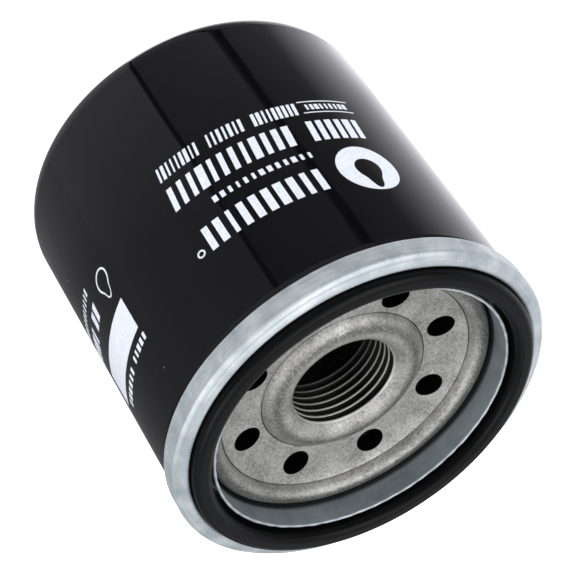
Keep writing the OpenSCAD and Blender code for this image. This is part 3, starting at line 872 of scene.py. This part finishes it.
def row_tree():
    """a node tree that prints one row of blocks of uneven width and wraps it round the can"""
    tree = bpy.data.node_groups.new("printed_row", "GeometryNodeTree")
    floats = ("Start", "Length", "Height", "Middle", "Fill", "Narrowest", "Slant", "Can radius",
              "Film")
    for label in ("Blocks", "Steps", "Seed"):
        tree.interface.new_socket(label, in_out="INPUT", socket_type="NodeSocketInt")
    for label in floats:
        tree.interface.new_socket(label, in_out="INPUT", socket_type="NodeSocketFloat")
    tree.interface.new_socket("Ink", in_out="INPUT", socket_type="NodeSocketMaterial")
    tree.interface.new_socket("Row", in_out="OUTPUT", socket_type="NodeSocketGeometry")
    given = add(tree, "NodeGroupInput").outputs

    # block number k stands at Start + (k + 0.5) * Length / Blocks, with a width by chance
    step = add(tree, "ShaderNodeMath", {"operation": "DIVIDE"},
               {0: given["Length"], 1: given["Blocks"]}).outputs[0]
    index = add(tree, "GeometryNodeInputIndex").outputs[0]
    middle = add(tree, "ShaderNodeMath", {"operation": "ADD", 1: 0.5}, {0: index}).outputs[0]
    along = add(tree, "ShaderNodeMath", {"operation": "MULTIPLY_ADD"},
                {0: middle, 1: step, 2: given["Start"]}).outputs[0]
    chance = add(tree, "FunctionNodeRandomValue", {"data_type": "FLOAT", 3: 1.0},
                 {2: given["Narrowest"], "Seed": given["Seed"]}).outputs[1]
    room = add(tree, "ShaderNodeMath", {"operation": "MULTIPLY"}, {0: step, 1: given["Fill"]})
    width = add(tree, "ShaderNodeMath", {"operation": "MULTIPLY"}, {0: room.outputs[0], 1: chance})
    spot = add(tree, "ShaderNodeCombineXYZ", {}, {"X": along, "Z": given["Middle"]})
    points = add(tree, "GeometryNodePoints", {},
                 {"Count": given["Blocks"], "Position": spot.outputs[0]})
    size = add(tree, "ShaderNodeCombineXYZ", {},
               {"X": width.outputs[0], "Y": given["Film"], "Z": given["Height"]})
    block = add(tree, "GeometryNodeMeshCube", {"Vertices Y": 2, "Vertices Z": 2},
                {"Vertices X": given["Steps"]})
    placed = add(tree, "GeometryNodeInstanceOnPoints", {},
                 {"Points": points.outputs[0], "Instance": block.outputs[0],
                  "Scale": size.outputs[0]})
    real = add(tree, "GeometryNodeRealizeInstances", {}, {0: placed.outputs[0]}).outputs[0]

    # the flat row is leaned over, then wound round the can: length becomes angle
    here = add(tree, "GeometryNodeInputPosition")
    at = add(tree, "ShaderNodeSeparateXYZ", {}, {0: here.outputs[0]}).outputs
    above = add(tree, "ShaderNodeMath", {"operation": "SUBTRACT"}, {0: at[2], 1: given["Middle"]})
    leaned = add(tree, "ShaderNodeMath", {"operation": "MULTIPLY_ADD"},
                 {0: above.outputs[0], 1: given["Slant"], 2: at[0]})
    angle = add(tree, "ShaderNodeMath", {"operation": "DIVIDE"},
                {0: leaned.outputs[0], 1: given["Can radius"]})
    radius = add(tree, "ShaderNodeMath", {"operation": "ADD"}, {0: given["Can radius"], 1: at[1]})
    level = add(tree, "ShaderNodeMath", {"operation": "COSINE"}, {0: angle.outputs[0]})
    steep = add(tree, "ShaderNodeMath", {"operation": "SINE"}, {0: angle.outputs[0]})
    across = add(tree, "ShaderNodeMath", {"operation": "MULTIPLY"},
                 {0: radius.outputs[0], 1: level.outputs[0]})
    beside = add(tree, "ShaderNodeMath", {"operation": "MULTIPLY"},
                 {0: radius.outputs[0], 1: steep.outputs[0]})
    bent = add(tree, "ShaderNodeCombineXYZ", {},
               {"X": across.outputs[0], "Y": beside.outputs[0], "Z": at[2]})
    wrapped = add(tree, "GeometryNodeSetPosition", {},
                  {"Geometry": real, "Position": bent.outputs[0]})
    outward = add(tree, "GeometryNodeFlipFaces", {}, {0: wrapped.outputs[0]})
    coloured = add(tree, "GeometryNodeSetMaterial", {},
                   {"Geometry": outward.outputs[0], "Material": given["Ink"]})
    add(tree, "NodeGroupOutput", {}, {0: coloured.outputs[0]})
    return tree


ink = white_ink()
printed_row = row_tree()


def row(name, from_deg, to_deg, middle, height, blocks, fill=0.8, slant=0.0, seed=1):
    """one printed row between two angles round the can, heights in mm"""
    start = math.radians(from_deg) * CAN_R * MM
    alone = blocks == 1
    return grown(name, bpy.data.meshes.new("none"), printed_row,
                 {"Blocks": blocks, "Steps": 40 if alone else 6, "Seed": seed, "Start": start,
                  "Length": math.radians(to_deg) * CAN_R * MM - start, "Height": height * MM,
                  "Middle": middle * MM, "Fill": 1.0 if alone else fill,
                  "Narrowest": 1.0 if alone else 0.45, "Slant": slant,
                  "Can radius": CAN_R * MM, "Film": FILM * MM, "Ink": ink})


def ring_of_ink(name, inner, outer, middle_deg, height, steps=5):
    """a wrapped closed shape between two outlines given as radius by angle, in mm"""
    mesh = bmesh.new()
    spokes = 96
    skins = []
    for lift in (-FILM / 2, FILM / 2):
        rows = []
        for i in range(steps + 1):
            line = []
            for j in range(spokes):
                a = math.tau * j / spokes
                r = inner(a) + (outer(a) - inner(a)) * i / steps
                turn = math.radians(middle_deg) + r * math.cos(a) / CAN_R
                line.append(mesh.verts.new(((CAN_R + lift) * MM * math.cos(turn),
                                            (CAN_R + lift) * MM * math.sin(turn),
                                            (height + r * math.sin(a)) * MM)))
            rows.append(line)
        skins.append(rows)
    low, high = skins
    for i in range(steps):
        for j in range(spokes):
            n = (j + 1) % spokes
            mesh.faces.new((high[i][j], high[i + 1][j], high[i + 1][n], high[i][n]))
            mesh.faces.new((low[i][j], low[i][n], low[i + 1][n], low[i + 1][j]))
    for j in range(spokes):
        n = (j + 1) % spokes
        mesh.faces.new((high[steps][j], low[steps][j], low[steps][n], high[steps][n]))
        mesh.faces.new((high[0][j], high[0][n], low[0][n], low[0][j]))
    bmesh.ops.remove_doubles(mesh, verts=mesh.verts, dist=0.000001)
    bmesh.ops.recalc_face_normals(mesh, faces=mesh.faces)
    film = bpy.data.meshes.new(name)
    mesh.to_mesh(film)
    mesh.free()
    film.materials.append(ink)
    piece = bpy.data.objects.new(name, film)
    bpy.context.scene.collection.objects.link(piece)
    return piece


def drop(size):
    """outline of an oil drop with its point up the can, radius by angle"""
    return lambda a: size * (1 + 0.9 * max(0, math.sin(a)) ** 20 + 0.25 * max(0, math.sin(a)) ** 3)


# rows: from and to in degrees round the can, middle and height in mm, number of blocks, share
# of each place that ink fills, lean, seed
front = [
    row("small_a", 62, 76.5, 28.0, 2.9, 9, 0.7, 0.12, 3),
    row("small_b", 79, 91, 28.0, 2.9, 7, 0.7, 0.12, 4),
    row("small_c", 93.5, 108, 28.0, 2.9, 9, 0.7, 0.12, 9),
    row("bold_a", 45.2, 63.5, 33.8, 4.9, 6, 0.78, 0.1, 5),
    row("bold_b", 68, 109, 33.8, 4.9, 12, 0.78, 0.1, 6),
    row("fine", 66.4, 98.6, 39.1, 1.3, 13, 0.62, 0.0, 8),
    row("name", 67.5, 106.5, 44.9, 4.9, 10, 0.66, 0.0, 11),
    row("rule_low", 43.6, 60.8, 26.4, 0.22, 1),
    row("rule_high", 43.6, 60.8, 29.2, 0.22, 1),
    row("tiny", 45.0, 59.5, 27.8, 1.3, 9, 0.84, 0.0, 21),
    ring_of_ink("badge", drop(2.3), lambda a: 5.4, 53.4, 44.0),
    ring_of_ink("dot", lambda a: 0.45, lambda a: 0.75, 108.9, 46.3, 1),
]
side = [
    row("patch", 139, 171, 41.3, 7.0, 1),
    row("date_a", 137.6, 149, 47.0, 1.4, 5, 0.8, 0.0, 17),
    row("date_b", 151, 167, 47.0, 1.4, 6, 0.8, 0.0, 18),
    row("note_a", 152, 159.5, 31.9, 3.2, 2, 0.84, 0.1, 29),
    row("note_b", 162, 176, 31.9, 3.2, 4, 0.84, 0.1, 30),
    row("note_fine", 152.5, 178, 27.2, 1.5, 12, 0.74, 0.1, 31),
    ring_of_ink("drop_mark", drop(1.75), lambda a: drop(1.75)(a) + 0.35, 142.4, 31.2, 2),
]
for name, panel in (("print_front", front), ("print_side", side)):
    sheet = joined(name, panel)
    sheet.data.materials.append(ink)
    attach(sheet, "housing")


# ---- Gasket ------------------------------------------------------------------------------------
# Nitrile ring pressed into the lid's channel, standing proud of the seam. Satin moulded skin with
# a thin film of oil, greyer where the light rakes it.

# the oil film takes most of the highlight off
give("sealing_gasket",
     moulded_rubber("oiled_nitrile_rubber", "#060607", "#0b0b0c", 0.36, shine=0.14))


# ---- Floor, light and camera -------------------------------------------------------------------
# A white sweep and a soft studio: an even ceiling, a large key high to one side, a top light and
# a weak fill, and dark flags low down so that the black enamel stays black.

def white_floor():
    """matt white sweep, lit evenly by itself. It gives the eye a pure pale ground with no edge"""
    finish, tree, place = start_finish("white_sweep")
    shades = add(tree, "ShaderNodeTexNoise",
                 {"Scale": 1 / (300 * MM), "Detail": 3, "Roughness": 0.55}, {"Vector": place})
    colour = add(tree, "ShaderNodeMix",
                 {"data_type": "RGBA", 6: linear("#f6f6f6"), 7: linear("#fafafa")},
                 {0: shades.outputs[0]})
    shader = add(tree, "ShaderNodeBsdfPrincipled",
                 {"Roughness": 0.9, "Emission Color": (1, 1, 1, 1), "Emission Strength": 0.9},
                 {"Base Color": colour.outputs[2]})
    add(tree, "ShaderNodeOutputMaterial", {}, {"Surface": shader.outputs[0]})
    return finish


def sweep():
    """the floor's disc, a tenth of a millimetre under the part so that the two never share a
    plane"""
    mesh = bpy.data.meshes.new("floor")
    reach, sides = 4, 96
    mesh.from_pydata([(reach * math.cos(math.tau * k / sides),
                       reach * math.sin(math.tau * k / sides), -0.1 * MM)
                      for k in range(sides)], [], [tuple(range(sides))])
    mesh.materials.append(white_floor())
    disc = bpy.data.objects.new("floor", mesh)
    bpy.context.scene.collection.objects.link(disc)
    return disc


floor = sweep()
floor.visible_glossy = False

# the enamel mirrors only what lies below the horizon, so the strips are there; above it the
# ceiling is even. Their edges sway a little, as the edges of cloth flags do
studio = bpy.data.worlds.new("studio")
bpy.context.scene.world = studio
studio.use_nodes = True
air = studio.node_tree
sky = air.nodes["Background"]
aim = add(air, "ShaderNodeSeparateXYZ", {},
          {0: add(air, "ShaderNodeTexCoord").outputs["Generated"]})
heading = add(air, "ShaderNodeMath", {"operation": "ARCTAN2"},
              {0: aim.outputs[1], 1: aim.outputs[0]})
ragged = add(air, "ShaderNodeTexNoise", {"Scale": 34.0, "Detail": 4.0})
sway = add(air, "ShaderNodeMath", {"operation": "MULTIPLY_ADD", 1: 0.09, 2: -0.045},
           {0: ragged.outputs[0]})
bearing = add(air, "ShaderNodeMath", {"operation": "ADD"},
              {0: heading.outputs[0], 1: sway.outputs[0]})
lap = add(air, "ShaderNodeMapRange", {1: -math.pi, 2: math.pi, 3: 0, 4: 1},
          {0: bearing.outputs[0]})
flags = add(air, "ShaderNodeValToRGB", {}, {0: lap.outputs[0]})
# what the gloss of the can mirrors: light and dark upright strips, by bearing in degrees
stops = [(-180, 0.26), (-104, 0.2), (-95, 0.7), (-86, 1.5), (-50, 1.8), (-22, 1.1), (6, 0.2),
         (36, 0.13), (36.5, 0.0), (42, 0.0), (42.5, 0.2), (96, 0.14), (96.5, 0.0), (98.5, 0.0),
         (99, 0.3)]
while len(flags.color_ramp.elements) < len(stops):
    flags.color_ramp.elements.new(0.5)
for element, (degrees, level) in zip(flags.color_ramp.elements, stops):
    element.position = (degrees + 180) / 360
    element.color = (level, level, level * 1.06, 1)
low_glow = add(air, "ShaderNodeMapRange", {1: -0.66, 2: -0.73, 3: 0.72, 4: 1.75},
               {0: aim.outputs[2]})
flagged = add(air, "ShaderNodeVectorMath", {"operation": "SCALE"},
              {0: flags.outputs[0], "Scale": low_glow.outputs[0]})
above = add(air, "ShaderNodeMapRange", {1: 0.0, 2: 0.5, 3: 0, 4: 1}, {0: aim.outputs[2]})
whole = add(air, "ShaderNodeMix", {"data_type": "RGBA", 7: (0.62, 0.63, 0.65, 1)},
            {0: above.outputs[0], 6: flagged.outputs[0]})
air.links.new(whole.outputs[2], sky.inputs["Color"])


def softbox(name, spot, target, side, power):
    """a square soft light aimed at a point, all in metres"""
    lamp = bpy.data.lights.new(name, "AREA")
    lamp.shape = "SQUARE"
    lamp.size = side
    lamp.energy = power
    holder = bpy.data.objects.new(name, lamp)
    bpy.context.scene.collection.objects.link(holder)
    holder.location = spot
    way = np.array(target) - np.array(spot)
    flat = math.hypot(way[0], way[1])
    holder.rotation_euler = (math.atan2(flat, -way[2]), 0, math.atan2(way[1], way[0]) - math.pi / 2)


softbox("key", (0.5, 0.42, 0.7), (0, 0, 0.05), 0.55, 2.3)
softbox("top", (0.05, 0.1, 0.9), (0, 0, 0.06), 0.6, 2.1)
softbox("fill", (-0.6, 0.1, 0.42), (0, 0, 0.06), 0.5, 1.7)

# a long lens, looking down on the open end with the can leaning away to the upper left
eye = bpy.data.cameras.new("eye")
eye.lens = 127.7
eye.sensor_width = 36
eye.clip_start = 0.01
camera = bpy.data.objects.new("eye", eye)
bpy.context.scene.collection.objects.link(camera)
camera.location = (-0.027095, 0.270788, 0.250355)
camera.rotation_euler = (math.radians(-46.609), math.radians(-25.86), math.radians(-16.509))
bpy.context.scene.camera = camera
bpy.context.scene.view_settings.view_transform = "Standard"
